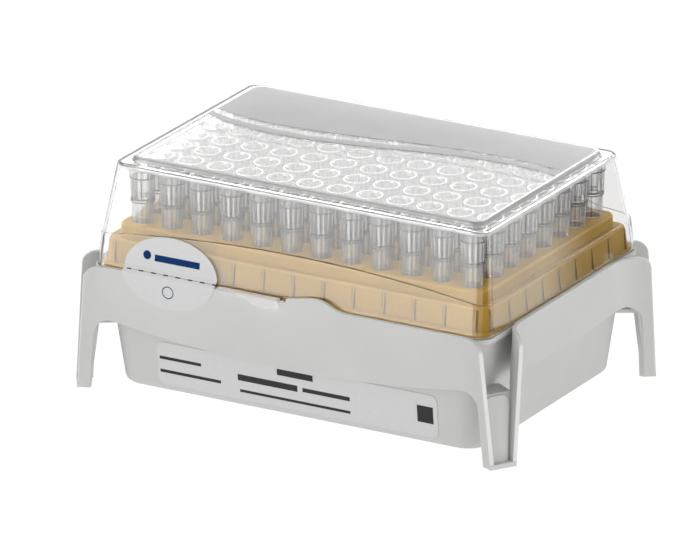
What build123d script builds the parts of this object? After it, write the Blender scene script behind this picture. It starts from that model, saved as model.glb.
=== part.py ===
from build123d import *
from math import cos, radians, sin, tan
import os

# Box of pipette tips: a moulded base with a hinged clear lid, a tip rack resting in the
# base and the tips standing in the rack.  Millimetres.  Origin: centre of the footprint,
# on the surface that the feet stand on.  +X to the right, +Y to the hinge, +Z up.

# ---- tip pattern -------------------------------------------------------------------
PITCH = 9.0
TIPS_ACROSS = 12
TIPS_DEEP = 8
PATTERN_X = (TIPS_ACROSS - 1) * PITCH / 2
PATTERN_Y = (TIPS_DEEP - 1) * PITCH / 2

# ---- heights -----------------------------------------------------------------------
SEAT_Z = 34.0               # ledge of the base that carries the rack and the lid
RIM_LIP = 0.5               # the skirt stands this much above the ledge
DECK_RISE = 10.8            # rack deck above the seat
TIP_STAND = 15.0            # tip above the deck
HEAD_ROOM = 0.8             # tip mouth to the underside of the lid
RIM_Z = SEAT_Z + RIM_LIP
DECK_Z = SEAT_Z + DECK_RISE
TIP_TOP = DECK_Z + TIP_STAND

# ---- tip ---------------------------------------------------------------------------
TIP_LENGTH = 50.0
COLLAR_R = 3.55
COLLAR_H = 2.6
BARREL_TOP_R = 3.35
BARREL_LOW_R = 3.1
BEAD_R = 3.3
BEAD_H = 0.8
BEAD_DROP = 8.4             # top of the bead below the mouth
BODY_TOP_R = 2.95
TIP_SEAT_R = 2.85           # shoulder that rests on the deck
STEM_R = 2.45
STEM_BORE_R = 2.0
POINT_R = 0.5
POINT_BORE_R = 0.25
MOUTH_BORE_R = 2.75
MOUTH_DEPTH = 4.0
MOUTH_LEAD = 0.4            # lead-in round the mouth, as wide as deep

# ---- rack --------------------------------------------------------------------------
RACK_WALL = 1.2
DECK_THICK = 1.6
DECK_MARGIN_X = 5.2
DECK_MARGIN_Y = 4.7
DECK_CORNER = 3.2
STEP_X = 2.3                # ledge round the deck
STEP_Y = 2.05
STEP_DROP = 3.5             # ledge below the deck
DECK_ROUND = 0.8
STEP_ROUND = 0.6
RACK_FLARE = 0.45
RACK_FLANGE = 0.9           # thickness of the seating flange
RACK_SIDE_PLAY = 0.4        # flange to the inside of the lid
STEM_PLAY = 0.2             # tip stem in its hole
RIB_WIDTH = 0.5
RIB_TOP = 0.1
RIB_FOOT = 0.45

# ---- base --------------------------------------------------------------------------
SKIRT_MARGIN_X = 9.7        # pattern to the inside of the skirt
SKIRT_MARGIN_Y = 10.7
SKIRT_WALL = 1.1
SKIRT_GAP = 1.4             # skirt to tub
TUB_WALL = 1.3
TUB_LIFT = 0.8              # tub above the surface that the feet stand on
TUB_FLOOR = 1.3
TUB_DRAFT = 5.85            # degrees
TUB_CORNER = 6.0
TUB_FOOT_CORNER = 7.0
TUB_FOOT_ROUND = 2.0
LEDGE_THICK = 1.2
LEDGE_CORNER = 4.5
LEDGE_GRIP = 0.3            # ledge into the skirt
SKIRT_INNER_X = PATTERN_X + SKIRT_MARGIN_X
SKIRT_INNER_Y = PATTERN_Y + SKIRT_MARGIN_Y
SKIRT_X = SKIRT_INNER_X + SKIRT_WALL
SKIRT_Y = SKIRT_INNER_Y + SKIRT_WALL
TUB_X = SKIRT_INNER_X - SKIRT_GAP
TUB_Y = SKIRT_INNER_Y - SKIRT_GAP

OVERCUT = 2.0               # cutting shapes reach this far past what they cut

# The skirt's lower edge is an arch between the legs.
ARCH_FRONT_Z = 16.1
ARCH_FRONT_R = 360.0
ARCH_SIDE_Z = 20.1
ARCH_SIDE_R = 500.0
ARCH_ROUND = 5.0
LEG_EDGE_FRONT = 1.1        # leg edge inside the skirt face, at the foot
LEG_EDGE_SIDE = 6.9
LEG_SPREAD = 0.09           # leg widening per mm of height

# A leg is a channel that opens outwards along a diagonal of the box.
DIAGONAL = 32.0             # degrees from X
MOUTH_REACH = 2.4           # mouth beyond the skirt's corner
MOUTH_LEAN = 0.054
CHANNEL_SHIFT = -3.6        # middle of the channel beside the skirt's corner
CHANNEL_HALF = 3.86
CHANNEL_SPREAD = 0.0836
FLANGE_DRAWN = 14.0
BEND_FRONT_FOOT = 8.0
BEND_FRONT_TOP = 11.5
BEND_SIDE = 11.0
MOUTH_ROUND = 3.6
LEG_TOP = 18.7
WEB_DEPTH_FOOT = 2.3
WEB_DEPTH_TOP = 3.6
WEB_WALL = 1.4
WEB_EDGE = 0.5              # full width of the web, behind its face
PAD_PROUD = 0.7
PAD_INSET = 0.7
PAD_ROUND = 2.0
FOOT_THICK = 1.3
SHOULDER_THICK = 1.0
SHOULDER_HALF = 4.5

# thumb rest on the front rim
HUMP_LEFT = 0.3             # from the box's middle
HUMP_WIDTH = 17.9
HUMP_LEFT_H = 1.15
HUMP_PEAK = 2.1
HUMP_PEAK_AT = 0.62         # of its width
HUMP_SLOPE = 0.15           # at its left end
HUMP_GRIP = 1.0             # hump into the rim

# ---- lid ---------------------------------------------------------------------------
LID_PLAY = 0.2              # lid inside the skirt
LID_WALL = 0.9
LID_TOP_WALL = 1.0
LID_CORNER = 4.0
LID_TOP_CORNER = 3.4
LID_TOP_ROUND = 0.7
LID_INSET_X = 3.3           # top narrower than the foot, each side
LID_INSET_Y = 5.4
LID_UPPER_LEAN_X = 0.135    # lean of the wall above the crease, mm per mm
LID_UPPER_LEAN_Y = 0.211
LID_BAND_LEAN_X = 0.07      # lean of the band below the crease
LID_BAND_LEAN_Y = 0.109
LID_BAND_OVER = 1.0         # band drawn above the middle of the crease
CREASE_RISE = 12.7          # middle of the arched crease above the seat
CREASE_R = 426.0
LID_KNEE = 8.0              # height where the inside changes its lean
LID_KNEE_WALL_Y = 1.15
LID_HEAD_WALL_Y = 0.72      # front and back wall under the top
PLATEAU_RISE = 1.2
PLATEAU_INSET_X = 3.3
PLATEAU_INSET_Y = 3.4
PLATEAU_BEVEL = 0.6
PLATEAU_CORNER = 3.0
PLATEAU_GRIP = 0.2          # plateau into the lid's top
RECESS_DEPTH = 0.12         # each of the two steps in the top
# waves across the top, (x, y) from its middle, and y at the left and right edges
BACK_WAVE = ((-31, 7.9), (0.5, 11.6), (32, 14.9))
BACK_WAVE_ENDS = (12.8, 11.4)
FRONT_WAVE = ((-28, 1.1), (0, 5.1), (23.5, 9.9))
FRONT_WAVE_ENDS = (8.8, 7.6)
LID_X = SKIRT_INNER_X - LID_PLAY
LID_Y = SKIRT_INNER_Y - LID_PLAY
LID_TOP_X = LID_X - LID_INSET_X
LID_TOP_Y = LID_Y - LID_INSET_Y
SHOULDER_Z = TIP_TOP + HEAD_ROOM + LID_TOP_WALL
LID_TOP_Z = SHOULDER_Z + PLATEAU_RISE
PLATEAU_X = LID_TOP_X - PLATEAU_INSET_X
PLATEAU_Y = LID_TOP_Y - PLATEAU_INSET_Y

# thumb tab on the lid's front edge
TAB_LEFT = -20.0            # from the box's middle
TAB_RIGHT = -1.4
TAB_THICK = 0.75
TAB_PLAY = 0.2
TAB_BLOCK_WIDTH = 1.6
TAB_BLOCK_PROUD = 0.7
# outline of the tab's lower edge: distance from its left end, and drop
TAB_DROPS = ((8.7, 1.7), (11.3, 3.3), (16.8, 2.9), (18.4, 1.9))

# ---- hinge -------------------------------------------------------------------------
HINGE_FROM_SIDE = 30.3      # middle of each hinge from the skirt's side
HINGE_BACK = 2.1            # axis behind the skirt
HINGE_DROP = 0.2            # axis below the seat
PIN_R = 0.9
PIN_PLAY = 0.05
BARREL_R = 1.4
BARREL_LENGTH = 9.0
EAR_R = 2.0
EAR_THICK = 1.8
EAR_PLAY = 0.2
ARM_THICK = 1.0
EAR_ROOT = 5.0              # ear on the panel, below the axis
NOTCH_SIDE = 0.7
NOTCH_DEPTH = 1.3           # below the rim
HINGE_X = SKIRT_X - HINGE_FROM_SIDE
HINGE_Y = SKIRT_Y + HINGE_BACK
HINGE_Z = SEAT_Z - HINGE_DROP
EAR_START = BARREL_LENGTH / 2 + EAR_PLAY
PIN_END = EAR_START + EAR_THICK - EAR_PLAY

# ---- paper -------------------------------------------------------------------------
PAPER = 0.15
LABEL_FROM_LEFT = 16.5      # from the tub's left side
LABEL_FROM_RIGHT = 14.9
LABEL_FOOT = 2.9
LABEL_TOP = 15.0
LABEL_CORNER = 2.0
SEAL_FROM_LEFT = 25.1       # middle of the seal from the skirt's left side
SEAL_HALF_WIDTH = 14.0
SEAL_ABOVE = 9.9            # reach above and below the tear line
SEAL_BELOW = 9.1
SEAL_FOLD_RISE = 2.1        # fold on the lid above the seat
SEAL_TEAR = 0.1
LABEL_LEFT = LABEL_FROM_LEFT - TUB_X
LABEL_RIGHT = TUB_X - LABEL_FROM_RIGHT
SEAL_X = SEAL_FROM_LEFT - SKIRT_X


# ---- shared shapes -----------------------------------------------------------------
def block(z, half_x, half_y, corner, height):
    """Upright block with rounded corners, standing on height z."""
    return extrude(Pos(0, 0, z) * RectangleRounded(2 * half_x, 2 * half_y, corner), height)


def tapered(*sections):
    """Straight-sided solid through rounded rectangles (z, half_x, half_y, corner)."""
    faces = [Pos(0, 0, z) * RectangleRounded(2 * x, 2 * y, r) for z, x, y, r in sections]
    return loft(faces, ruled=True)


def polygon(*points):
    return make_face(Polyline(*points, close=True))


def round_corner(face, point, radius):
    """Fillet the corner of a flat outline that lies nearest to a point."""
    return fillet(face.vertices().sort_by_distance(point)[0], radius)


def along_x(face, start, end):
    """Extrude an outline drawn as (y, z) from x = start to x = end."""
    return extrude(Plane.YZ.offset(start) * face, end - start)


def along_y(face, start, end):
    """Extrude an outline drawn as (x, z) from y = start to y = end."""
    return extrude(Plane.XZ.offset(-start) * face, start - end)


def both_sides(shape, about):
    return shape + mirror(shape, about=about)


def four_corners(shape):
    return both_sides(both_sides(shape, Plane.YZ), Plane.XZ)


def one_solid(shape, name):
    """The shape as a single solid, checked."""
    solids = shape.solids()
    assert len(solids) == 1, f"{name} is {len(solids)} solids"
    return solids[0]


# ---- tips --------------------------------------------------------------------------
def tip():
    """One tip, turned about its own axis, with its mouth at the right height."""
    point_z = TIP_TOP - TIP_LENGTH
    bead_z = TIP_TOP - BEAD_DROP
    bore_z = TIP_TOP - MOUTH_LEAD
    profile = polygon(
        (POINT_BORE_R, point_z), (POINT_R, point_z), (STEM_R, DECK_Z), (TIP_SEAT_R, DECK_Z),
        (BODY_TOP_R, bead_z - BEAD_H), (BEAD_R, bead_z - BEAD_H), (BEAD_R, bead_z),
        (BARREL_LOW_R, bead_z), (BARREL_TOP_R, TIP_TOP - COLLAR_H), (COLLAR_R, TIP_TOP - COLLAR_H),
        (COLLAR_R, TIP_TOP), (MOUTH_BORE_R + MOUTH_LEAD, TIP_TOP), (MOUTH_BORE_R, bore_z),
        (MOUTH_BORE_R, bore_z - MOUTH_DEPTH), (STEM_BORE_R, DECK_Z),
    )
    return revolve(Plane.XZ * profile, Axis.Z)


def tip_column(index, model):
    x = index * PITCH - PATTERN_X
    return [Pos(x, row * PITCH - PATTERN_Y, 0) * model for row in range(TIPS_DEEP)]


# ---- rack --------------------------------------------------------------------------
DECK_X = PATTERN_X + DECK_MARGIN_X
DECK_Y = PATTERN_Y + DECK_MARGIN_Y
STEP_Z = DECK_Z - STEP_DROP
RACK_FLANGE_X = LID_X - LID_WALL - RACK_SIDE_PLAY
RACK_FLANGE_Y = LID_Y - LID_WALL - RACK_SIDE_PLAY


def rack_wall(inset, top):
    """Deck and stepped skirt as a solid, set in by one wall for the inside."""
    deck = block(SEAT_Z, DECK_X - inset, DECK_Y - inset, DECK_CORNER, DECK_Z - top - SEAT_Z)
    foot_z = SEAT_Z if inset == 0 else SEAT_Z - RACK_FLANGE
    foot_x = DECK_X + STEP_X + RACK_FLARE - inset
    foot_y = DECK_Y + STEP_Y + RACK_FLARE - inset
    skirt = tapered(
        (foot_z, foot_x, foot_y, DECK_CORNER),
        (STEP_Z - inset, foot_x - RACK_FLARE, foot_y - RACK_FLARE, DECK_CORNER),
    )
    if inset == 0:
        deck = fillet(deck.edges().group_by(Axis.Z)[-1], DECK_ROUND)
        skirt = fillet(skirt.edges().group_by(Axis.Z)[-1], STEP_ROUND)
    return deck + skirt


def rack_rib(half, place):
    """Wedge rib on the wall that lies at y = -half, standing on the seating flange."""
    foot_z, top_z = SEAT_Z + RACK_FLANGE, STEP_Z - STEP_ROUND
    wedge = polygon(
        (-half - RACK_FLARE - RIB_FOOT, foot_z), (-half - RIB_TOP, top_z),
        (-half + RACK_WALL / 2, top_z), (-half + RACK_WALL / 2, foot_z),
    )
    return along_x(wedge, place - RIB_WIDTH / 2, place + RIB_WIDTH / 2)


def tip_rack():
    shell = rack_wall(0, 0)
    shell += block(SEAT_Z, RACK_FLANGE_X, RACK_FLANGE_Y, LID_CORNER - LID_WALL, RACK_FLANGE)
    ribs = []
    for index in range(TIPS_ACROSS + 1):
        place = (index - TIPS_ACROSS / 2) * PITCH
        front = rack_rib(DECK_Y + STEP_Y, place)
        ribs += [front, mirror(front, about=Plane.XZ)]
    for index in range(TIPS_DEEP + 1):
        place = (index - TIPS_DEEP / 2) * PITCH
        right = Rot(0, 0, 90) * rack_rib(DECK_X + STEP_X, place)
        ribs += [right, mirror(right, about=Plane.YZ)]
    shell += ribs
    shell -= rack_wall(RACK_WALL, DECK_THICK)
    hole = Cylinder(STEM_R + STEM_PLAY, 4 * DECK_THICK)
    holes = [
        Pos(column * PITCH - PATTERN_X, row * PITCH - PATTERN_Y, DECK_Z) * hole
        for column in range(TIPS_ACROSS) for row in range(TIPS_DEEP)
    ]
    return one_solid(shell - holes, "tip_rack")


# ---- base --------------------------------------------------------------------------
ALONG = (cos(radians(DIAGONAL)), -sin(radians(DIAGONAL)), 0)
ACROSS = (-sin(radians(DIAGONAL)), -cos(radians(DIAGONAL)), 0)
CORNER_S = SKIRT_X * cos(radians(DIAGONAL)) + SKIRT_Y * sin(radians(DIAGONAL))
CORNER_T = SKIRT_Y * cos(radians(DIAGONAL)) - SKIRT_X * sin(radians(DIAGONAL))
CHANNEL_T = CORNER_T + CHANNEL_SHIFT


def mouth(z):
    """Distance of the channel's mouth along the diagonal."""
    return CORNER_S + MOUTH_REACH - MOUTH_LEAN * z


def channel_half(z):
    return CHANNEL_HALF + CHANNEL_SPREAD * z


def tub_solid(wall, floor_z, top_z):
    """Drafted tub body, set in by a wall."""
    def section(z, corner):
        lean = (SEAT_Z - z) * tan(radians(TUB_DRAFT))
        return z, TUB_X - wall - lean, TUB_Y - wall - lean, corner - wall
    body = tapered(section(floor_z, TUB_FOOT_CORNER), section(top_z, TUB_CORNER))
    return fillet(body.edges().group_by(Axis.Z)[0], TUB_FOOT_ROUND - wall / 2)


def panel_plan(run, face, turn, bend):
    """Plan of a skirt panel: a straight wall whose two ends turn outwards."""
    turn = radians(turn)

    def path(run, face, bend):
        end_x = run + FLANGE_DRAWN * cos(turn)
        end_y = face + FLANGE_DRAWN * sin(turn)
        return FilletPolyline((-end_x, -end_y), (-run, -face), (run, -face), (end_x, -end_y), radius=bend)

    outer = path(run, face, bend)
    inner = path(run + SKIRT_WALL * tan(turn / 2), face - SKIRT_WALL, bend + SKIRT_WALL)
    ends = [Line(outer @ 0, inner @ 0), Line(outer @ 1, inner @ 1)]
    return make_face([*outer.edges(), *inner.edges(), *ends])


def panel(plan_at, cut_under, turn):
    """One skirt panel, drawn facing the front, cut to the arch underneath, and turned."""
    body = loft([Pos(0, 0, z) * plan_at(z) for z in (0, RIM_Z + OVERCUT)], ruled=True)
    return Rot(0, 0, turn) * (body - cut_under) - four_corners(mouth_cut())


def mouth_cut():
    """What lies outside a leg's mouth and above the rim, at the front right corner."""
    corner = (mouth(RIM_Z), RIM_Z)
    far, low, high = mouth(0) + FLANGE_DRAWN, -OVERCUT, RIM_Z + 2 * OVERCUT
    outline = polygon((mouth(low), low), corner, (0, RIM_Z), (0, high), (far, high), (far, low))
    outline = round_corner(outline, corner, MOUTH_ROUND)
    plane = Plane(origin=(0, 0, 0), x_dir=ALONG, z_dir=ACROSS)
    return extrude(plane.offset(-SKIRT_X) * outline, 2 * SKIRT_X)


def arch(half_foot, spread, top_z, radius, start, end):
    """The gap between two legs, below the skirt's arched lower edge."""
    def edge_z(x):
        return top_z + x * x / (2 * radius)
    half_top = half_foot - spread * edge_z(half_foot)
    corner = (half_top, edge_z(half_top))
    low = -OVERCUT
    half_low = half_foot - spread * low
    outline = make_face([
        Line((-half_low, low), (half_low, low)),
        Line((half_low, low), corner),
        ThreePointArc(corner, (0, top_z), (-corner[0], corner[1])),
        Line((-corner[0], corner[1]), (-half_low, low)),
    ])
    outline = round_corner(outline, corner, ARCH_ROUND)
    outline = round_corner(outline, (-corner[0], corner[1]), ARCH_ROUND)
    return along_y(outline, start, end)


def front_panel():
    turn = radians(DIAGONAL)

    def plan_at(z):
        run = (SKIRT_Y * cos(turn) - CHANNEL_T - channel_half(z)) / sin(turn)
        bend = BEND_FRONT_FOOT + (BEND_FRONT_TOP - BEND_FRONT_FOOT) * z / RIM_Z
        return panel_plan(run, SKIRT_Y, DIAGONAL, bend)

    cut = arch(SKIRT_X - LEG_EDGE_FRONT, LEG_SPREAD, ARCH_FRONT_Z, ARCH_FRONT_R,
               -SKIRT_INNER_Y + SKIRT_GAP / 2, -2 * SKIRT_Y)
    return panel(plan_at, cut, 0)


def side_panel():
    """The right panel, turned from the front to its place."""
    turn = radians(DIAGONAL)

    def plan_at(z):
        run = (CHANNEL_T - channel_half(z) + SKIRT_X * sin(turn)) / cos(turn)
        return panel_plan(run, SKIRT_X, 90 - DIAGONAL, BEND_SIDE)

    cut = arch(SKIRT_Y - LEG_EDGE_SIDE, LEG_SPREAD, ARCH_SIDE_Z, ARCH_SIDE_R,
               -SKIRT_INNER_X + SKIRT_GAP / 2, -2 * SKIRT_X)
    return panel(plan_at, cut, 90)


def leg_layer(z, points):
    """Outline in a leg's own axes: along the diagonal, and across from the channel's middle."""
    plane = Plane(origin=(0, 0, z), x_dir=ALONG, z_dir=(0, 0, -1))
    return plane * polygon(*[(s, CHANNEL_T + t) for s, t in points])


def leg():
    """Web, raised pad, foot and shoulder of the front right leg."""
    def web_face(z):
        depth = WEB_DEPTH_FOOT + (WEB_DEPTH_TOP - WEB_DEPTH_FOOT) * z / LEG_TOP
        return mouth(z) - depth

    def web_plan(z):
        face, half = web_face(z), channel_half(z)
        edge, back = face - WEB_EDGE, face - WEB_WALL
        side = half - SKIRT_WALL
        return leg_layer(z, ((face, half), (edge, half), (back, side),
                             (back, -side), (edge, -half), (face, -half)))

    def pad_plan(z):
        back, face = web_face(z) - WEB_WALL / 2, web_face(z) + PAD_PROUD
        half = channel_half(z) - SKIRT_WALL - PAD_INSET
        return leg_layer(z, ((back, -half), (face, -half), (face, half), (back, half)))

    web = loft([web_plan(0), web_plan(LEG_TOP)], ruled=True)
    pad = loft([pad_plan(FOOT_THICK / 2), pad_plan(LEG_TOP)], ruled=True)
    top = pad.edges().group_by(Axis.Z)[-1]
    pad = fillet(top.filter_by(Axis((0, 0, 0), ALONG)), PAD_ROUND)
    grip = SKIRT_WALL / 2
    foot_back, foot_face = web_face(0) - WEB_WALL / 2, mouth(0)
    foot_half = channel_half(0) - grip
    foot = leg_layer(0, ((foot_back, -foot_half), (foot_face, -foot_half),
                         (foot_face, foot_half), (foot_back, foot_half)))
    foot = extrude(foot, -FOOT_THICK)
    top_z = LEG_TOP + SHOULDER_THICK / 2
    lean = (SEAT_Z - LEG_TOP) * tan(radians(TUB_DRAFT))
    corner_x, corner_y = TUB_X - lean - TUB_CORNER, TUB_Y - lean - TUB_CORNER
    tub_s = corner_x * cos(radians(DIAGONAL)) + corner_y * sin(radians(DIAGONAL))
    tub_s += TUB_CORNER - TUB_WALL / 2
    shoulder = leg_layer(top_z, ((tub_s, -SHOULDER_HALF), (web_face(LEG_TOP), -SHOULDER_HALF),
                                 (web_face(LEG_TOP), SHOULDER_HALF), (tub_s, SHOULDER_HALF)))
    shoulder = extrude(shoulder, SHOULDER_THICK)
    return web + pad + foot + shoulder


def thumb_hump():
    """Rise on the front rim beside the lid's tab."""
    left, right = HUMP_LEFT, HUMP_LEFT + HUMP_WIDTH
    start = (left, RIM_Z + HUMP_LEFT_H)
    peak = (left + HUMP_PEAK_AT * HUMP_WIDTH, RIM_Z + HUMP_PEAK)
    low = RIM_Z - HUMP_GRIP
    outline = make_face([
        Spline(start, peak, (right, RIM_Z), tangents=[(1, HUMP_SLOPE), (1, 0)]),
        Line((right, RIM_Z), (right, low)),
        Line((right, low), (left, low)),
        Line((left, low), start),
    ])
    return along_y(outline, -SKIRT_Y, -SKIRT_INNER_Y)


def hinge_ear():
    """One bored ear on the back panel, right of its hinge's middle."""
    outline = Pos(HINGE_Y, HINGE_Z) * Circle(EAR_R)
    outline += polygon(
        (SKIRT_Y - SKIRT_WALL / 2, RIM_Z), (HINGE_Y, RIM_Z), (HINGE_Y, HINGE_Z - EAR_R),
        (SKIRT_Y - SKIRT_WALL / 2, HINGE_Z - EAR_ROOT),
    )
    outline -= Pos(HINGE_Y, HINGE_Z) * Circle(PIN_R + PIN_PLAY)
    return along_x(outline, EAR_START, EAR_START + EAR_THICK)


def base_box():
    ledge = block(SEAT_Z - LEDGE_THICK, SKIRT_INNER_X + LEDGE_GRIP, SKIRT_INNER_Y + LEDGE_GRIP,
                  LEDGE_CORNER, LEDGE_THICK)
    box = tub_solid(0, TUB_LIFT, SEAT_Z) + ledge
    box += both_sides(front_panel(), Plane.XZ)
    box += both_sides(side_panel(), Plane.YZ)
    box += four_corners(leg())
    box += thumb_hump()
    box -= tub_solid(TUB_WALL, TUB_LIFT + TUB_FLOOR, SEAT_Z + OVERCUT)
    notch_half = BARREL_LENGTH / 2 + NOTCH_SIDE
    notch = Pos(0, SKIRT_INNER_Y, RIM_Z - NOTCH_DEPTH) * Box(
        2 * notch_half, 2 * SKIRT_WALL, 2 * NOTCH_DEPTH, align=(Align.CENTER, Align.MIN, Align.MIN))
    ears = both_sides(hinge_ear(), Plane.YZ)
    for x in (-HINGE_X, HINGE_X):
        box -= Pos(x, 0, 0) * notch
        box += Pos(x, 0, 0) * ears
    return one_solid(box, "base_box")


# ---- lid ---------------------------------------------------------------------------
def lid_outside():
    """Upper wall leaning in from the crease, and the lower band proud of it."""
    fall = SHOULDER_Z - SEAT_Z
    upper = tapered(
        (SEAT_Z, LID_TOP_X + LID_UPPER_LEAN_X * fall, LID_TOP_Y + LID_UPPER_LEAN_Y * fall, LID_CORNER),
        (SHOULDER_Z, LID_TOP_X, LID_TOP_Y, LID_TOP_CORNER),
    )
    upper = fillet(upper.edges().group_by(Axis.Z)[-1], LID_TOP_ROUND)
    rise = CREASE_RISE + LID_BAND_OVER
    lower = tapered(
        (SEAT_Z, LID_X, LID_Y, LID_CORNER),
        (SEAT_Z + rise, LID_X - LID_BAND_LEAN_X * rise, LID_Y - LID_BAND_LEAN_Y * rise, LID_CORNER),
    )
    half, low = LID_X + OVERCUT, SEAT_Z - OVERCUT
    crease_z = SEAT_Z + CREASE_RISE
    edge_z = crease_z - half * half / (2 * CREASE_R)
    under = make_face([
        ThreePointArc((-half, edge_z), (0, crease_z), (half, edge_z)),
        Line((half, edge_z), (half, low)),
        Line((half, low), (-half, low)),
        Line((-half, low), (-half, edge_z)),
    ])
    under = along_y(under, LID_Y + OVERCUT, -LID_Y - OVERCUT)
    return (upper - under) + (lower & under)


def lid_inside():
    top_z = SHOULDER_Z - LID_TOP_WALL
    knee_z = SEAT_Z + LID_KNEE
    knee_y = LID_Y - LID_BAND_LEAN_Y * LID_KNEE - LID_KNEE_WALL_Y
    knee_x = LID_X - LID_BAND_LEAN_X * LID_KNEE - LID_WALL
    low = tapered(
        (SEAT_Z, LID_X - LID_WALL, LID_Y - LID_WALL, LID_CORNER - LID_WALL),
        (knee_z, knee_x, knee_y, LID_CORNER - LID_WALL),
    )
    high = tapered(
        (knee_z, knee_x, knee_y, LID_CORNER - LID_WALL),
        (top_z, LID_TOP_X - LID_WALL, LID_TOP_Y - LID_HEAD_WALL_Y, LID_TOP_CORNER - LID_WALL),
    )
    raised = block(top_z - OVERCUT, PLATEAU_X - LID_WALL, PLATEAU_Y - LID_WALL,
                   PLATEAU_CORNER - LID_WALL, OVERCUT + PLATEAU_RISE)
    return low + high + raised


def wave(points, ends):
    """Everything in front of a wave that crosses the top from left to right."""
    left, right = (-LID_TOP_X, ends[0]), (LID_TOP_X, ends[1])
    front = -2 * LID_TOP_Y
    return make_face([
        Spline(left, *points, right),
        Line(right, (right[0], front)),
        Line((right[0], front), (left[0], front)),
        Line((left[0], front), left),
    ])


def lid_tab():
    """Lip over the front rim, to push the lid open."""
    top_z = RIM_Z + TAB_PLAY + TAB_THICK
    face_y = -SKIRT_Y - TAB_PLAY
    edge = [(TAB_LEFT + x, top_z - drop) for x, drop in TAB_DROPS]
    outline = polygon((TAB_LEFT, top_z), *edge, (TAB_RIGHT, top_z))
    hanging = along_y(outline, face_y - TAB_THICK, face_y)
    width = TAB_RIGHT - TAB_LEFT
    reach = -LID_Y + LID_WALL / 2 - face_y + TAB_THICK
    bridge = Pos((TAB_LEFT + TAB_RIGHT) / 2, face_y - TAB_THICK, top_z - TAB_THICK) * Box(
        width, reach, TAB_THICK, align=(Align.CENTER, Align.MIN, Align.MIN))
    stop = Pos(TAB_RIGHT, face_y - TAB_THICK / 2, top_z) * Box(
        TAB_BLOCK_WIDTH, TAB_THICK / 2 + TAB_BLOCK_PROUD, TAB_DROPS[-1][1] + TAB_THICK / 2,
        align=(Align.MAX, Align.MAX, Align.MAX))
    return hanging + bridge + stop


def lid_hinge():
    """Arm, barrel and pin ends of one hinge, in the hinge's middle."""
    half = BARREL_LENGTH / 2
    root = LID_Y - LID_WALL / 2
    arm = Pos(0, root, SEAT_Z) * Box(
        BARREL_LENGTH, HINGE_Y - root, ARM_THICK, align=(Align.CENTER, Align.MIN, Align.MIN))
    centre = (HINGE_Y, HINGE_Z)
    barrel = along_x(Pos(*centre) * Circle(BARREL_R), -half, half)
    pin = along_x(Pos(*centre) * Circle(PIN_R), -PIN_END, PIN_END)
    return arm + barrel + pin


def clear_lid():
    lid = lid_outside()
    lid += tapered(
        (SHOULDER_Z - PLATEAU_GRIP, PLATEAU_X + PLATEAU_BEVEL, PLATEAU_Y + PLATEAU_BEVEL, PLATEAU_CORNER),
        (LID_TOP_Z, PLATEAU_X, PLATEAU_Y, PLATEAU_CORNER),
    )
    inner = block(SHOULDER_Z, PLATEAU_X - PLATEAU_BEVEL, PLATEAU_Y - PLATEAU_BEVEL,
                  PLATEAU_CORNER, 2 * PLATEAU_RISE)
    waves = (wave(BACK_WAVE, BACK_WAVE_ENDS), wave(FRONT_WAVE, FRONT_WAVE_ENDS))
    for step, outline in enumerate(waves, 1):
        zone = extrude(Pos(0, 0, LID_TOP_Z - step * RECESS_DEPTH) * outline, PLATEAU_RISE)
        lid -= zone & inner
    lid -= lid_inside()
    lid += lid_tab()
    for x in (-HINGE_X, HINGE_X):
        lid += Pos(x, 0, 0) * lid_hinge()
    return one_solid(lid, "clear_lid")


# ---- paper -------------------------------------------------------------------------
def front_label():
    """Paper lying on the tub's leaning front wall."""
    lean = tan(radians(TUB_DRAFT))

    def wall_y(z):
        return -TUB_Y + (SEAT_Z - z) * lean

    strip = polygon(
        (wall_y(LABEL_FOOT), LABEL_FOOT), (wall_y(LABEL_TOP), LABEL_TOP),
        (wall_y(LABEL_TOP) - PAPER, LABEL_TOP), (wall_y(LABEL_FOOT) - PAPER, LABEL_FOOT))
    strip = along_x(strip, LABEL_LEFT, LABEL_RIGHT)
    width, height = LABEL_RIGHT - LABEL_LEFT, LABEL_TOP - LABEL_FOOT
    outline = Pos((LABEL_LEFT + LABEL_RIGHT) / 2, LABEL_FOOT + height / 2) * RectangleRounded(
        width, height, LABEL_CORNER)
    return one_solid(strip & along_y(outline, 0, -SKIRT_Y), "front_label")


def seals():
    """One round sticker over the lid's joint, parted along its tear line."""
    fold_z = SEAT_Z + SEAL_FOLD_RISE
    tear_z = (fold_z + RIM_Z) / 2
    top_z, foot_z = tear_z + SEAL_ABOVE, tear_z - SEAL_BELOW

    def lid_y(z):
        return -LID_Y + LID_BAND_LEAN_Y * (z - SEAT_Z)

    def band_y(z):
        share = (z - RIM_Z) / (fold_z - RIM_Z)
        return -SKIRT_Y + share * (lid_y(fold_z) + SKIRT_Y)

    def strip(points):
        """Paper on a line of (y, z) points, as thick as PAPER measured outwards."""
        outside = [(y - PAPER, z) for y, z in reversed(points)]
        return along_x(polygon(*points, *outside), SEAL_X - SEAL_HALF_WIDTH, SEAL_X + SEAL_HALF_WIDTH)

    upper_tear, lower_tear = tear_z + SEAL_TEAR / 2, tear_z - SEAL_TEAR / 2
    upper = strip([(lid_y(top_z), top_z), (lid_y(fold_z), fold_z), (band_y(upper_tear), upper_tear)])
    lower = strip([(band_y(lower_tear), lower_tear), (-SKIRT_Y, RIM_Z), (-SKIRT_Y, foot_z)])
    outline = Pos(SEAL_X, (top_z + foot_z) / 2) * Ellipse(SEAL_HALF_WIDTH, (top_z - foot_z) / 2)
    disc = along_y(outline, 0, -2 * SKIRT_Y)
    return one_solid(upper & disc, "seal_upper"), one_solid(lower & disc, "seal_lower")


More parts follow.
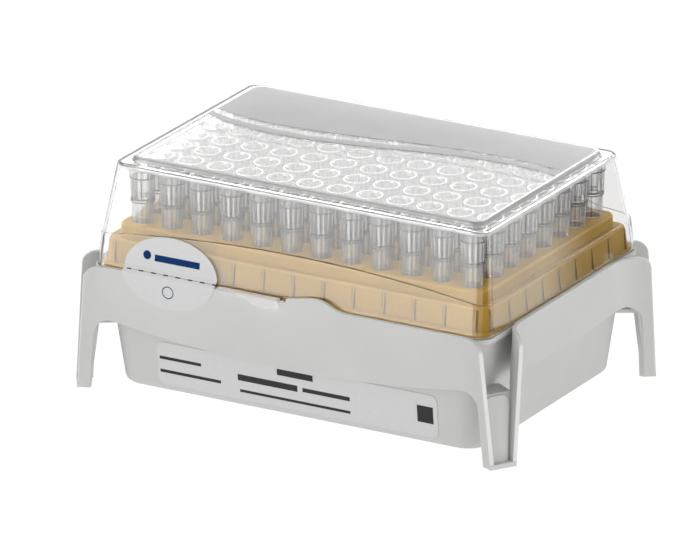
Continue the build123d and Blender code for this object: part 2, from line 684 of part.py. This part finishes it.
# ---- write the nodes -----------------------------------------------------------------
def main():
    os.makedirs("parts", exist_ok=True)
    seal_upper, seal_lower = seals()
    nodes = {
        "base_box": base_box(),
        "tip_rack": tip_rack(),
        "clear_lid": clear_lid(),
        "front_label": front_label(),
        "seal_upper": seal_upper,
        "seal_lower": seal_lower,
    }
    model = tip()
    for index in range(TIPS_ACROSS):
        nodes[f"tips_column_{index + 1:02d}"] = Compound(children=tip_column(index, model))
    for name, shape in nodes.items():
        export_step(shape, f"parts/{name}.step")


main()
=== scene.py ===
import math

import bpy
from mathutils import Matrix, Vector

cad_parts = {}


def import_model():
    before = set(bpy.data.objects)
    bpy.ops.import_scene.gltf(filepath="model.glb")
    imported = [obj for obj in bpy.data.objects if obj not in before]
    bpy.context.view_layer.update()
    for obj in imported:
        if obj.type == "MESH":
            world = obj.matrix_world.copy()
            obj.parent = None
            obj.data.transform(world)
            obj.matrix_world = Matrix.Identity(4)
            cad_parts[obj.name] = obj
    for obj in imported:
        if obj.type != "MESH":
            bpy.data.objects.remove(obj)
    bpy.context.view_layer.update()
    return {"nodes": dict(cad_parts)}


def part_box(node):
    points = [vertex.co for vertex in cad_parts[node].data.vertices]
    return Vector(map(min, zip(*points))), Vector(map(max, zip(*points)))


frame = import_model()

MM = 0.001

# ---- sizes that the finishes follow ------------------------------------------------------
PITCH = 9.0 * MM
COLLAR_R = 3.55 * MM
COLLAR_H = 2.6 * MM
BEAD_DROP = 8.4 * MM                # top of the bead below the tip's mouth
BEAD_H = 0.8 * MM
TIP_STAND = 15.0 * MM               # tip above the rack's deck
RIM_R = 3.2 * MM                    # inside of the painted highlight ring on the tip's mouth
TIP_RIBS = 14
RIB_SWING = 5                       # times that the ribs grow and fade round a tip
TEAR_Z = 35.3 * MM                  # tear line of the seal

RECESS = 0.12 * MM                  # each step down on the lid's top
FIELD_X = 51.6 * MM                 # half size of the frosted field's outline
FIELD_Y = 32.4 * MM
FIELD_CORNER = 2.5 * MM
# the wave on the lid's top in front, (x, y) in millimetres
FRONT_WAVE = ((-55.7, 8.8), (-28.0, 1.1), (0.0, 5.1), (23.5, 9.9), (55.7, 7.6))
GREY_BAND = 3.2 * MM                # grey band, this far behind the wave
FAINT_STRIPE = (4.2 * MM, 5.4 * MM)     # and faint stripe, this far in front of it
EDGE_HIGHLIGHT_BAND = 2.6 * MM                # painted highlight on the lid's top edges, milky and pale, this far down from the top
CREASE_ABOVE_FOOT = 6.0 * MM
CREASE_BELOW_TOP = 5.0 * MM
TAB_REACH = 1.6 * MM

DIAGONAL = math.radians(32.0)       # way that a leg's channel opens, from X
MOUTH = 76.48 * MM                  # the channel's mouth from the middle, at the foot
MOUTH_LEAN = 0.054
FLANGE_HIGHLIGHT_END = (0.35 * MM, 0.05 * MM)   # painted highlight on the flanges' ends, from and to inside the mouth

RACK_RIB_X = 56.7 * MM              # the rack's ribbed walls lie past these
RACK_RIB_Y = 37.9 * MM
RACK_RIB_Z = 40.7 * MM              # top of the ribs
RACK_FLANGE = 0.9 * MM
RIB_SHADE_FROM, RIB_SHADE_TO = 0.22 * MM, 0.62 * MM     # painted shade, from a rib's middle line

# ---- colours -----------------------------------------------------------------------------
BASE_TONES = (0.580, 0.582, 0.568, 1), (0.602, 0.604, 0.592, 1)
# painted highlight on the ends of the legs' flanges
FLANGE_HIGHLIGHT_TONE = (0.76, 0.762, 0.75, 1)
RACK_TONES = (0.315, 0.183, 0.017, 1), (0.342, 0.202, 0.021, 1)
# painted shade beside the rack's ribs
PAINTED_RIB_SHADE = (0.10, 0.055, 0.006, 1)
# painted dark line on the lid's crease, for the amber that it refracts
PAINTED_CREASE_LINE_TONE = (0.30, 0.22, 0.12, 1)
LABEL_INK = (0.045, 0.045, 0.048, 1)
SEAL_INK = (0.003, 0.032, 0.130, 1)
# clear plastic, and the milky grey of the tab and of the painted highlight on the lid's top edges
CLEAR_GREY, MILKY_TAB_AND_EDGE_HIGHLIGHT_GREY = 0.985, 0.88
FROST_GREYS = 0.57, 0.61
FACE_GREY, EDGE_ON_SHADE_GREY = 0.92, 0.16           # a tip's wall seen square on, and the painted shade where it is seen edge on
# painted highlight on the ribs, painted shade in the grooves and along the steps, painted
# highlight on the mouth's ring
RIB_HIGHLIGHT_GREY, GROOVE_SHADE_GREY, STEP_SHADE_GREY, RIM_HIGHLIGHT_GREY = 0.97, 0.30, 0.10, 0.95
PAPER_GREYS = 0.62, 0.65
PLASTIC_IOR = 1.49

# Print on the papers: bars as (centre x, centre z, half width, half height), a dot and a
# ring as (centre x, centre z, radius), in millimetres.
LABEL_BARS = (
    (-34.3, 10.5, 6.3, 0.45), (-31.4, 6.7, 9.2, 0.45), (0.4, 13.0, 5.4, 0.9),
    (-8.0, 9.2, 9.0, 0.9), (9.6, 9.2, 7.1, 0.6), (0.1, 5.4, 16.6, 0.4), (39.2, 9.2, 2.4, 2.4),
)
SEAL_BARS = ((-33.4, 39.2, 6.8, 0.9),)
SEAL_DOT = (-42.5, 39.6, 1.2)
SEAL_RING = (-35.2, 30.9, 1.6)
INK_HALF_LINE = 0.14 * MM
DASH, DASH_PITCH = 1.4 * MM, 3.7 * MM

# ---- floor and lamps ---------------------------------------------------------------------
FLOOR_HALF = 6.0
FLOOR_DROP = 0.02 * MM
FLOOR_GREY = 0.90
FLOOR_SEEN, FLOOR_AS_LAMP = 1.12, 1.5       # what it shines, to the eye and on the box
FLOOR_GLOW, LEAST_GLOW = 0.86, 0.5          # how much of it shines
# What reflections see of the floor: the spans, in metres, over which each zone fades in.
FRONT_ZONE_X, FRONT_ZONE_Y, FRONT_LEVEL = (-0.045, -0.02), (-0.20, -0.10), 4.0
ACROSS_STRIPE = (-0.84, 0.543)      # way across the dark stripe
BEHIND_ZONE, BEHIND_ZONE_Y, BEHIND_LEVEL = (-0.050, -0.036), (0.03, 0.06), 1.4
ASIDE_ZONE, ASIDE_ZONE_Y = (0.0, 0.03), (0.0, 0.05)
DARK_LEVEL = 0.2
SKY_SEEN, SKY_AS_LAMP = 1.04, 0.40
SKY_IN_FRONT = 0.7, 0.1             # in gloss, and as the lid alone mirrors it

# Each softbox: way from the box, distance, size, radiance, and what it leaves out.
LAMPS = {
    "key": ((-0.463, -0.886, 0.06), 1.5, (1.7, 1.1), 1.75, {}),
    "sheen": ((-0.342, -0.94, 0.06), 1.45, (2.2, 1.1), 1.45, {"lights": False}),
    "sheen_corner": ((0.574, -0.819, 0.06), 1.45, (0.8, 1.1), 1.45, {"lights": False}),
    "fill": ((0.97, -0.20, 0.0), 1.3, (1.0, 0.8), 3.5, {"mirrored": False}),
    "back": ((-0.46, 0.82, 0.34), 1.5, (1.7, 0.9), 1.1, {}),
    "top": ((0.1, 0.1, 1.0), 1.1, (1.0, 0.8), 0.5, {"mirrored": False}),
    "spark_front": ((-0.46, -0.34, 0.82), 1.2, (0.5, 0.5), 14.0, {"lights": False}),
    "spark_right": ((0.34, 0.82, 0.46), 1.2, (0.5, 0.5), 8.0, {"lights": False}),
}
LAMPS_AIM = Vector((0, 0, 35)) * MM

# ---- camera: a long lens to the right of the front, and up -------------------------------
AZIMUTH, ELEVATION, ROLL = (math.radians(angle) for angle in (29.48, 19.934, 0.1285))
CAMERA_AIM = Vector((-5.025, 0.0, 28.491)) * MM
CAMERA_DISTANCE = 3160.43 * MM
LENS, SENSOR = 617.14, 36.0
NEAR, FAR = 0.1, 50.0


# ---- sizes from the frame --------------------------------------------------------------
LID_LOW, LID_HIGH = (Vector(corner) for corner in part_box("clear_lid"))
RACK_LOW = Vector(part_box("tip_rack")[0])
TIP_LOW, TIP_HIGH = (Vector(corner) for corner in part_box("tips_column_01"))
TIP_NODES = sorted(name for name in frame["nodes"] if name.startswith("tips_column"))


# ---- node helpers ------------------------------------------------------------------------
class Tree:
    """Small helper that adds nodes to one material or world and links them by value."""

    def __init__(self, block):
        block.use_nodes = True
        self.tree = block.node_tree
        self.tree.nodes.clear()

    def node(self, kind, **settings):
        made = self.tree.nodes.new(kind)
        for name, value in settings.items():
            setattr(made, name, value)
        return made

    def put(self, socket, value):
        """Link a socket to another one, or set its value."""
        if isinstance(value, bpy.types.NodeSocket):
            self.tree.links.new(value, socket)
        else:
            socket.default_value = value

    def math(self, operation, *values, clamp=False):
        made = self.node("ShaderNodeMath", operation=operation, use_clamp=clamp)
        for socket, value in zip(made.inputs, values):
            self.put(socket, value)
        return made.outputs[0]

    def place(self):
        """The point's place in metres, as three sockets."""
        coords = self.node("ShaderNodeTexCoord")
        split = self.node("ShaderNodeSeparateXYZ")
        self.put(split.inputs[0], coords.outputs["Object"])
        return coords.outputs["Object"], split.outputs[0], split.outputs[1], split.outputs[2]

    def upward(self):
        """How far a face looks up in its piece's own space, which turns with the piece."""
        turned = self.node("ShaderNodeVectorTransform", vector_type="NORMAL")
        turned.convert_from = "WORLD"
        turned.convert_to = "OBJECT"
        self.put(turned.inputs[0], self.node("ShaderNodeNewGeometry").outputs["True Normal"])
        split = self.node("ShaderNodeSeparateXYZ")
        self.put(split.inputs[0], turned.outputs[0])
        return split.outputs[2]

    def noise(self, vector, scale, detail=2.0, roughness=0.5):
        made = self.node("ShaderNodeTexNoise")
        self.put(made.inputs["Vector"], vector)
        made.inputs["Scale"].default_value = scale
        made.inputs["Detail"].default_value = detail
        made.inputs["Roughness"].default_value = roughness
        return made.outputs["Fac"]

    def span(self, value, low, high, out_low=0.0, out_high=1.0):
        """Map value from one span to another, held at both ends."""
        made = self.node("ShaderNodeMapRange")
        for socket, number in zip(made.inputs, (value, low, high, out_low, out_high)):
            self.put(socket, number)
        return made.outputs[0]

    def mix(self, share, first, second):
        made = self.node("ShaderNodeMix", data_type="RGBA")
        self.put(made.inputs[0], share)
        self.put(made.inputs[6], first)
        self.put(made.inputs[7], second)
        return made.outputs[2]

    def bump(self, height, strength, distance):
        made = self.node("ShaderNodeBump")
        self.put(made.inputs["Strength"], strength)
        made.inputs["Distance"].default_value = distance
        self.put(made.inputs["Height"], height)
        return made.outputs[0]

    def principled(self, **values):
        made = self.node("ShaderNodeBsdfPrincipled")
        for name, value in values.items():
            self.put(made.inputs[name.replace("_", " ")], value)
        return made.outputs[0]

    def length(self, a, b):
        squares = (self.math("MULTIPLY", value, value) for value in (a, b))
        return self.math("SQRT", self.math("ADD", *squares))

    def apart(self, x, z, centre_x, centre_z):
        """Distance in the front plane from a centre given in mm."""
        aside = self.math("SUBTRACT", x, centre_x * MM)
        above = self.math("SUBTRACT", z, centre_z * MM)
        return self.length(aside, above)

    def near(self, value, middle, reach):
        off = self.math("ABSOLUTE", self.math("SUBTRACT", value, middle))
        return self.math("LESS_THAN", off, reach)

    def between(self, value, low, high):
        return self.near(value, (low + high) / 2, (high - low) / 2)

    def bars(self, x, z, pieces):
        """One inside any of the bars (centre x, centre z, half width, half height) in mm."""
        mask = 0.0
        for centre_x, centre_z, half_x, half_z in pieces:
            wide = self.near(x, centre_x * MM, half_x * MM)
            high = self.near(z, centre_z * MM, half_z * MM)
            mask = self.math("MAXIMUM", mask, self.math("MULTIPLY", wide, high))
        return mask

    def curve(self, value, points):
        """Smooth height over value through points given in mm."""
        (left, _), *_, (right, _) = points
        made = self.node("ShaderNodeFloatCurve")
        line = made.mapping.curves[0].points
        for _ in points[2:]:
            line.new(0.5, 0.5)
        full = 20
        for point, (x, y) in zip(line, points):
            point.location = ((x - left) / (right - left), y / full)
        made.mapping.update()
        self.put(made.inputs["Value"], self.span(value, left * MM, right * MM))
        return self.math("MULTIPLY", made.outputs[0], full * MM)

    def inside_plateau(self, x, y):
        """One inside the rounded outline of the lid's frosted field, for y behind the wave."""
        over_x = self.math("SUBTRACT", self.math("ABSOLUTE", x), FIELD_X - FIELD_CORNER)
        over_y = self.math("SUBTRACT", y, FIELD_Y - FIELD_CORNER)
        over_x, over_y = (self.math("MAXIMUM", over, 0.0) for over in (over_x, over_y))
        return self.math("LESS_THAN", self.length(over_x, over_y), FIELD_CORNER)

    def lamps_pass(self, shader, share):
        """Let a share of the lamps' light straight through clear plastic."""
        path = self.node("ShaderNodeLightPath")
        clear = self.node("ShaderNodeBsdfTransparent")
        clear.inputs["Color"].default_value = grey(share)
        mixed = self.node("ShaderNodeMixShader")
        self.put(mixed.inputs[0], path.outputs["Is Shadow Ray"])
        self.put(mixed.inputs[1], shader)
        self.put(mixed.inputs[2], clear.outputs[0])
        return mixed.outputs[0]

    def surface(self, shader):
        out = self.node("ShaderNodeOutputMaterial")
        self.put(out.inputs["Surface"], shader)


def grey(level, alpha=1.0):
    return (level, level, level, alpha)


# ---- materials ---------------------------------------------------------------------------
def base_material():
    """Satin white polypropylene, a little translucent."""
    made = bpy.data.materials.new("base_plastic")
    t = Tree(made)
    at, x, y, z = t.place()
    cloud = t.noise(at, 45.0, 3.0)
    grain = t.noise(at, 2600.0, 2.0)
    colour = t.mix(t.span(cloud, 0.35, 0.65), *BASE_TONES)
    # painted highlight: the ends of the legs' flanges are painted paler along the mouth of each
    # channel, for the light that catches their edges
    reach = t.math("MULTIPLY", t.math("ABSOLUTE", x), math.cos(DIAGONAL))
    reach = t.math("ADD", reach, t.math("MULTIPLY", t.math("ABSOLUTE", y), math.sin(DIAGONAL)))
    reach = t.math("ADD", reach, t.math("MULTIPLY", z, MOUTH_LEAN))
    pale = t.span(reach, MOUTH - FLANGE_HIGHLIGHT_END[0], MOUTH - FLANGE_HIGHLIGHT_END[1])
    pale = t.math("MULTIPLY", pale, t.span(z, 1.2 * MM, 1.8 * MM))
    colour = t.mix(pale, colour, FLANGE_HIGHLIGHT_TONE)
    t.surface(t.principled(
        Base_Color=colour,
        Roughness=t.span(cloud, 0.3, 0.7, 0.40, 0.46),
        Normal=t.bump(grain, 0.12, 0.00004),
        Subsurface_Weight=0.12,
        Subsurface_Radius=(0.004, 0.004, 0.0038),
        Subsurface_Scale=0.4,
        IOR=PLASTIC_IOR,
    ))
    return made


def rack_material():
    """Translucent amber plastic."""
    made = bpy.data.materials.new("amber_plastic")
    t = Tree(made)
    at, x, y, z = t.place()
    cloud = t.noise(at, 60.0, 2.0)
    grain = t.noise(at, 3000.0, 1.0)
    colour = t.mix(t.span(cloud, 0.35, 0.65), *RACK_TONES)
    # painted shade beside the ribs of the four walls, deeper on the front and back
    beside = []
    for along, over, face, depth in ((x, y, RACK_RIB_Y, 1.0), (y, x, RACK_RIB_X, 0.8)):
        off = t.math("ABSOLUTE", t.math("WRAP", along, PITCH / 2, -PITCH / 2))
        wall = t.math("MULTIPLY", t.math("GREATER_THAN", t.math("ABSOLUTE", over), face), depth)
        beside.append(t.math("MULTIPLY", t.between(off, RIB_SHADE_FROM, RIB_SHADE_TO), wall))
    height = t.between(z, RACK_LOW.z + RACK_FLANGE, RACK_RIB_Z)
    shade = t.math("MULTIPLY", t.math("MAXIMUM", *beside), height)
    colour = t.mix(shade, colour, PAINTED_RIB_SHADE)
    t.surface(t.principled(
        Base_Color=colour,
        Roughness=0.42,
        Specular_IOR_Level=0.08,
        Normal=t.bump(grain, 0.08, 0.00003),
        Subsurface_Weight=0.25,
        Subsurface_Radius=(0.006, 0.003, 0.001),
        Subsurface_Scale=0.5,
        IOR=1.5,
    ))
    return made


def lid_material():
    """Clear plastic, frosted on the raised zone behind the wave that crosses the top."""
    made = bpy.data.materials.new("clear_plastic")
    t = Tree(made)
    at, x, y, z = t.place()
    grain = t.noise(at, 2200.0, 2.0)
    cloud = t.noise(at, 90.0, 2.0)
    top = LID_HIGH.z
    raised = t.math("GREATER_THAN", z, top - RECESS / 2)
    frost = t.math("MULTIPLY", raised, t.inside_plateau(x, y))
    ahead = t.math("SUBTRACT", t.curve(x, FRONT_WAVE), y)
    band = t.math("GREATER_THAN", ahead, -GREY_BAND)
    band = t.math("MULTIPLY", band, t.between(z, top - 1.5 * RECESS, top - 0.5 * RECESS))
    stripe = t.math("MULTIPLY", t.between(ahead, *FAINT_STRIPE), 0.4)
    stripe = t.math("MULTIPLY", stripe, t.between(z, top - 2.5 * RECESS, top - 1.5 * RECESS))
    frost = t.math("MAXIMUM", frost, t.math("MAXIMUM", band, stripe))
    upward = t.upward()
    # the leaning faces near the top, outside the frosted field, are painted milky and pale: a
    # painted highlight along the lid's top edges
    leaning = t.math("LESS_THAN", t.math("ABSOLUTE", upward), 0.96)
    rim = t.math("MULTIPLY", t.near(x, 0.0, FIELD_X), t.near(y, 0.0, FIELD_Y))
    rim = t.math("MULTIPLY", leaning, t.math("SUBTRACT", 1.0, rim))
    edge_highlight = t.math("MULTIPLY", rim, t.math("GREATER_THAN", z, top - EDGE_HIGHLIGHT_BAND))
    # painted dark line: the upward faces of the crease in the lid's wall take a dark amber, for
    # the amber that the crease refracts
    painted_crease_line = t.math("GREATER_THAN", upward, 0.3)
    wall = t.between(z, LID_LOW.z + CREASE_ABOVE_FOOT, top - CREASE_BELOW_TOP)
    painted_crease_line = t.math("MULTIPLY", painted_crease_line, wall)
    tab = t.math("LESS_THAN", y, LID_LOW.y + TAB_REACH)
    # the tab is milky; the top edges carry the painted highlight
    milky_tab_and_edge_highlight = t.math("MAXIMUM", edge_highlight, tab)
    tone = t.mix(milky_tab_and_edge_highlight, grey(CLEAR_GREY), grey(MILKY_TAB_AND_EDGE_HIGHLIGHT_GREY))
    tone = t.mix(painted_crease_line, tone, PAINTED_CREASE_LINE_TONE)
    # the frosted tone drifts, and is painted lighter towards the right, a painted gradient of
    # light
    frosted = t.span(cloud, 0.35, 0.65, *FROST_GREYS)
    frosted = t.math("ADD", frosted, t.span(x, 0.0, 0.05, 0.03, 0.09))
    tone = t.mix(frost, tone, frosted)
    # the tab, the painted crease line and the painted edge highlight let less light through
    cloudy = t.math("MULTIPLY", t.math("MAXIMUM", tab, painted_crease_line), 0.45)
    cloudy = t.math("MAXIMUM", t.math("MULTIPLY", edge_highlight, 0.34), cloudy)
    clear = t.math("SUBTRACT", 1.0, cloudy)
    clear = t.math("SUBTRACT", clear, t.math("MULTIPLY", frost, 0.70))
    t.surface(t.lamps_pass(t.principled(
        Base_Color=tone,
        Roughness=t.span(frost, 0.0, 1.0, 0.015, 0.30),
        Specular_IOR_Level=t.span(frost, 0.0, 1.0, 0.5, 0.15),
        IOR=PLASTIC_IOR,
        Transmission_Weight=clear,
        Normal=t.bump(grain, t.span(frost, 0.0, 1.0, 0.01, 0.12), 0.00004),
    ), 0.9))
    return made


def tip_material():
    """Clear natural polypropylene with fine ribs, strongest between collar and bead."""
    made = bpy.data.materials.new("tip_plastic")
    t = Tree(made)
    _, x, y, z = t.place()
    across, deep = (
        t.math("WRAP", t.math("SUBTRACT", value, start + COLLAR_R), PITCH / 2, -PITCH / 2)
        for value, start in ((x, TIP_LOW.x), (y, TIP_LOW.y))
    )
    radius = t.length(across, deep)
    below = t.math("SUBTRACT", TIP_HIGH.z, z)
    # painted highlight on the upward ring of the tip's mouth
    rim = t.math("LESS_THAN", below, 0.15 * MM)
    rim = t.math("MULTIPLY", rim, t.math("GREATER_THAN", radius, RIM_R))
    rim = t.math("MULTIPLY", rim, t.math("GREATER_THAN", t.upward(), 0.5))
    turn = t.math("ARCTAN2", deep, across)
    ribs = t.math("COSINE", t.math("MULTIPLY", turn, TIP_RIBS))
    uneven = t.math("COSINE", t.math("MULTIPLY", turn, RIB_SWING))
    uneven = t.span(uneven, -1.0, 1.0, 0.55, 1.0)
    ribs = t.math("MULTIPLY", ribs, uneven)
    collar = t.math("MULTIPLY", ribs, t.between(below, 0.3 * MM, COLLAR_H))
    lower = t.math("MULTIPLY", ribs, t.between(below, BEAD_DROP + BEAD_H, TIP_STAND))
    ribs = t.math("MULTIPLY", ribs, t.between(below, COLLAR_H, BEAD_DROP))
    # painted highlights: white streaks along the ribs, strongest between collar and bead
    white = t.math("ADD", t.span(ribs, 0.35, 0.85, 0.0, 0.8), t.span(lower, 0.5, 0.9, 0.0, 0.45))
    white = t.math("ADD", white, t.span(collar, 0.5, 0.9, 0.0, 0.4))
    # painted shade: dark lines where the collar ends and along both edges of the bead
    step_shade = t.near(below, COLLAR_H, 0.16 * MM)
    step_shade = t.math("MAXIMUM", step_shade, t.near(below, BEAD_DROP, 0.16 * MM))
    step_shade = t.math("MAXIMUM", step_shade, t.near(below, BEAD_DROP + BEAD_H, 0.12 * MM))
    # painted shade where the tip's wall is seen edge on
    edge = t.node("ShaderNodeLayerWeight")
    edge.inputs["Blend"].default_value = 0.35
    tone = t.mix(edge.outputs["Facing"], grey(FACE_GREY), grey(EDGE_ON_SHADE_GREY))
    # painted shade in the grooves between the ribs
    groove_shade = t.math("MAXIMUM", t.span(ribs, -0.2, -0.9), t.span(lower, -0.4, -0.9, 0.0, 0.7))
    groove_shade = t.math("MAXIMUM", groove_shade, t.span(collar, -0.4, -0.9, 0.0, 0.6))
    tone = t.mix(groove_shade, tone, grey(GROOVE_SHADE_GREY))
    tone = t.mix(white, tone, grey(RIB_HIGHLIGHT_GREY))
    tone = t.mix(step_shade, tone, grey(STEP_SHADE_GREY))
    clear = t.math("SUBTRACT", 0.97, t.math("MULTIPLY", white, 0.45))
    clear = t.math("SUBTRACT", clear, t.math("MULTIPLY", step_shade, 0.7))
    clear = t.math("SUBTRACT", clear, t.math("MULTIPLY", rim, 0.7))
    t.surface(t.lamps_pass(t.principled(
        Base_Color=t.mix(rim, tone, grey(RIM_HIGHLIGHT_GREY)),
        Roughness=0.04,
        IOR=PLASTIC_IOR,
        Transmission_Weight=t.math("MAXIMUM", clear, 0.15),
        Normal=t.bump(ribs, 0.8, 0.00025),
    ), 0.8))
    return made


def paper_material(name, print_mask, ink):
    """Coated paper with plain printed shapes in one ink."""
    made = bpy.data.materials.new(name)
    t = Tree(made)
    at, x, _, z = t.place()
    fibre = t.noise(at, 1800.0, 3.0)
    sheet = t.mix(t.span(fibre, 0.3, 0.7), *(grey(level) for level in PAPER_GREYS))
    inked = print_mask(t, x, z)
    t.surface(t.principled(
        Base_Color=t.mix(inked, sheet, ink),
        Roughness=0.5,
        Specular_IOR_Level=t.span(inked, 0.0, 1.0, 0.5, 0.05),
        Normal=t.bump(fibre, 0.08, 0.00002),
    ))
    return made


def label_print(t, x, z):
    """Bars where lines of print would stand, and a plain square at the right end."""
    return t.bars(x, z, LABEL_BARS)


def seal_print(t, x, z):
    """A bar and a dot above, a ring below, and dashes along the tear line."""
    bar = t.bars(x, z, SEAL_BARS)
    dot = t.math("LESS_THAN", t.apart(x, z, *SEAL_DOT[:2]), SEAL_DOT[2] * MM)
    ring = t.near(t.apart(x, z, *SEAL_RING[:2]), SEAL_RING[2] * MM, INK_HALF_LINE)
    dashes = t.math("LESS_THAN", t.math("WRAP", x, DASH_PITCH, 0.0), DASH)
    dashes = t.math("MULTIPLY", dashes, t.near(z, TEAR_Z, INK_HALF_LINE))
    shapes = t.math("MAXIMUM", bar, dot)
    return t.math("MAXIMUM", t.math("MAXIMUM", shapes, ring), dashes)


def dress(node, material):
    slots = frame["nodes"][node].material_slots
    for slot in slots:
        slot.material = material
    if not slots:
        frame["nodes"][node].data.materials.append(material)


# ---- stage -------------------------------------------------------------------------------
def rays(t):
    """Camera rays, rays through clear plastic or off gloss, and what the lid mirrors alone."""
    path = t.node("ShaderNodeLightPath")
    seen = t.math("MAXIMUM", path.outputs["Is Transmission Ray"], path.outputs["Is Glossy Ray"])
    once = t.between(path.outputs["Glossy Depth"], 0.5, 1.5)
    one_wall = t.math("LESS_THAN", path.outputs["Transmission Depth"], 2.5)
    mirrored = t.math("MULTIPLY", seen, t.math("MULTIPLY", once, one_wall))
    return path.outputs["Is Camera Ray"], seen, mirrored


def floor():
    """Plain pale floor that goes on past the horizon of the view."""
    square = ((-1, -1), (1, -1), (1, 1), (-1, 1))
    corners = [(x * FLOOR_HALF, y * FLOOR_HALF, 0) for x, y in square]
    mesh = bpy.data.meshes.new("floor")
    mesh.from_pydata(corners, [], [(0, 1, 2, 3)])
    piece = bpy.data.objects.new("floor", mesh)
    bpy.context.collection.objects.link(piece)
    piece.location.z = -FLOOR_DROP
    made = bpy.data.materials.new("floor")
    t = Tree(made)
    _, x, y, _ = t.place()
    camera_ray, seen, mirrored = rays(t)
    diffuse = t.node("ShaderNodeBsdfDiffuse")
    diffuse.inputs["Color"].default_value = grey(FLOOR_GREY)
    # Reflections see a bright floor in front on the left, a white one behind the box but
    # for a dark stripe that runs away from it, and a dark one elsewhere.
    front = t.span(y, *FRONT_ZONE_Y, 1.0, 0.0)
    front = t.math("MULTIPLY", front, t.span(x, *FRONT_ZONE_X, 1.0, 0.0))
    across_x, across_y = (
        t.math("MULTIPLY", value, way) for value, way in zip((x, y), ACROSS_STRIPE)
    )
    beyond = t.math("ADD", across_y, across_x)
    behind = t.math("MULTIPLY", t.span(beyond, *BEHIND_ZONE, 1.0, 0.0), t.span(y, *BEHIND_ZONE_Y))
    aside = t.math("MULTIPLY", t.span(beyond, *ASIDE_ZONE), t.span(y, *ASIDE_ZONE_Y))
    level = t.math("ADD", t.math("MULTIPLY", behind, BEHIND_LEVEL), aside)
    level = t.math("ADD", t.math("MULTIPLY", front, FRONT_LEVEL), level)
    level = t.math("MAXIMUM", level, DARK_LEVEL)
    to_the_eye = t.math("MAXIMUM", camera_ray, seen)
    level = t.mix(mirrored, grey(FLOOR_SEEN), level)
    level = t.mix(to_the_eye, grey(FLOOR_AS_LAMP), level)
    white = t.node("ShaderNodeEmission")
    t.put(white.inputs["Color"], level)
    mixed = t.node("ShaderNodeMixShader")
    shine = t.math("MAXIMUM", t.math("MULTIPLY", to_the_eye, FLOOR_GLOW), mirrored)
    t.put(mixed.inputs[0], t.math("MAXIMUM", shine, LEAST_GLOW))
    t.put(mixed.inputs[1], diffuse.outputs[0])
    t.put(mixed.inputs[2], white.outputs[0])
    t.surface(mixed.outputs[0])
    mesh.materials.append(made)


def world():
    """White surround, dimmer as a lamp than it looks, and grey in front for reflections."""
    made = bpy.data.worlds.new("surround")
    bpy.context.scene.world = made
    t = Tree(made)
    camera_ray, seen, mirrored = rays(t)
    coords = t.node("ShaderNodeTexCoord")
    split = t.node("ShaderNodeSeparateXYZ")
    t.put(split.inputs[0], coords.outputs["Generated"])
    in_front = t.span(mirrored, 0.0, 1.0, *SKY_IN_FRONT)
    reflected = t.span(split.outputs[1], 0.0, 0.6, in_front, 1.0)
    level = t.mix(seen, grey(SKY_AS_LAMP), reflected)
    level = t.mix(camera_ray, level, grey(SKY_SEEN))
    background = t.node("ShaderNodeBackground")
    t.put(background.inputs["Color"], level)
    out = t.node("ShaderNodeOutputWorld")
    t.put(out.inputs["Surface"], background.outputs[0])


def lamp(name, way, distance, size, radiance, mirrored=True, lights=True):
    """Softbox that faces the box from a direction, hidden from the camera."""
    data = bpy.data.lights.new(name, "AREA")
    data.shape = "RECTANGLE"
    data.size, data.size_y = size
    data.energy = radiance * math.pi * size[0] * size[1]
    piece = bpy.data.objects.new(name, data)
    bpy.context.collection.objects.link(piece)
    way = Vector(way).normalized()
    piece.location = LAMPS_AIM + way * distance
    piece.rotation_mode = "QUATERNION"
    piece.rotation_quaternion = (-way).to_track_quat("-Z", "Y")
    piece.visible_camera = False
    piece.visible_glossy = mirrored
    piece.visible_transmission = mirrored
    piece.visible_diffuse = lights


def camera():
    back = Vector((
        math.sin(AZIMUTH) * math.cos(ELEVATION),
        -math.cos(AZIMUTH) * math.cos(ELEVATION),
        math.sin(ELEVATION),
    ))
    data = bpy.data.cameras.new("camera")
    data.sensor_width = SENSOR
    data.lens = LENS
    data.clip_start, data.clip_end = NEAR, FAR
    piece = bpy.data.objects.new("camera", data)
    bpy.context.collection.objects.link(piece)
    turn = (-back).to_track_quat("-Z", "Y").to_matrix() @ Matrix.Rotation(ROLL, 3, "Z")
    piece.matrix_world = Matrix.Translation(CAMERA_AIM + back * CAMERA_DISTANCE) @ turn.to_4x4()
    bpy.context.scene.camera = piece


# ---- the scene ---------------------------------------------------------------------------
def main():
    bpy.context.scene.view_settings.view_transform = "Standard"
    cycles = bpy.context.scene.cycles
    cycles.max_bounces = 40
    cycles.transmission_bounces = 40
    cycles.glossy_bounces = 8
    cycles.transparent_max_bounces = 64
    dress("base_box", base_material())
    dress("tip_rack", rack_material())
    dress("clear_lid", lid_material())
    tips = tip_material()
    for node in TIP_NODES:
        dress(node, tips)
    dress("front_label", paper_material("label_paper", label_print, LABEL_INK))
    seal = paper_material("seal_paper", seal_print, SEAL_INK)
    dress("seal_upper", seal)
    dress("seal_lower", seal)
    floor()
    world()
    for name, (way, distance, size, radiance, options) in LAMPS.items():
        lamp(name, way, distance, size, radiance, **options)
    camera()


main()
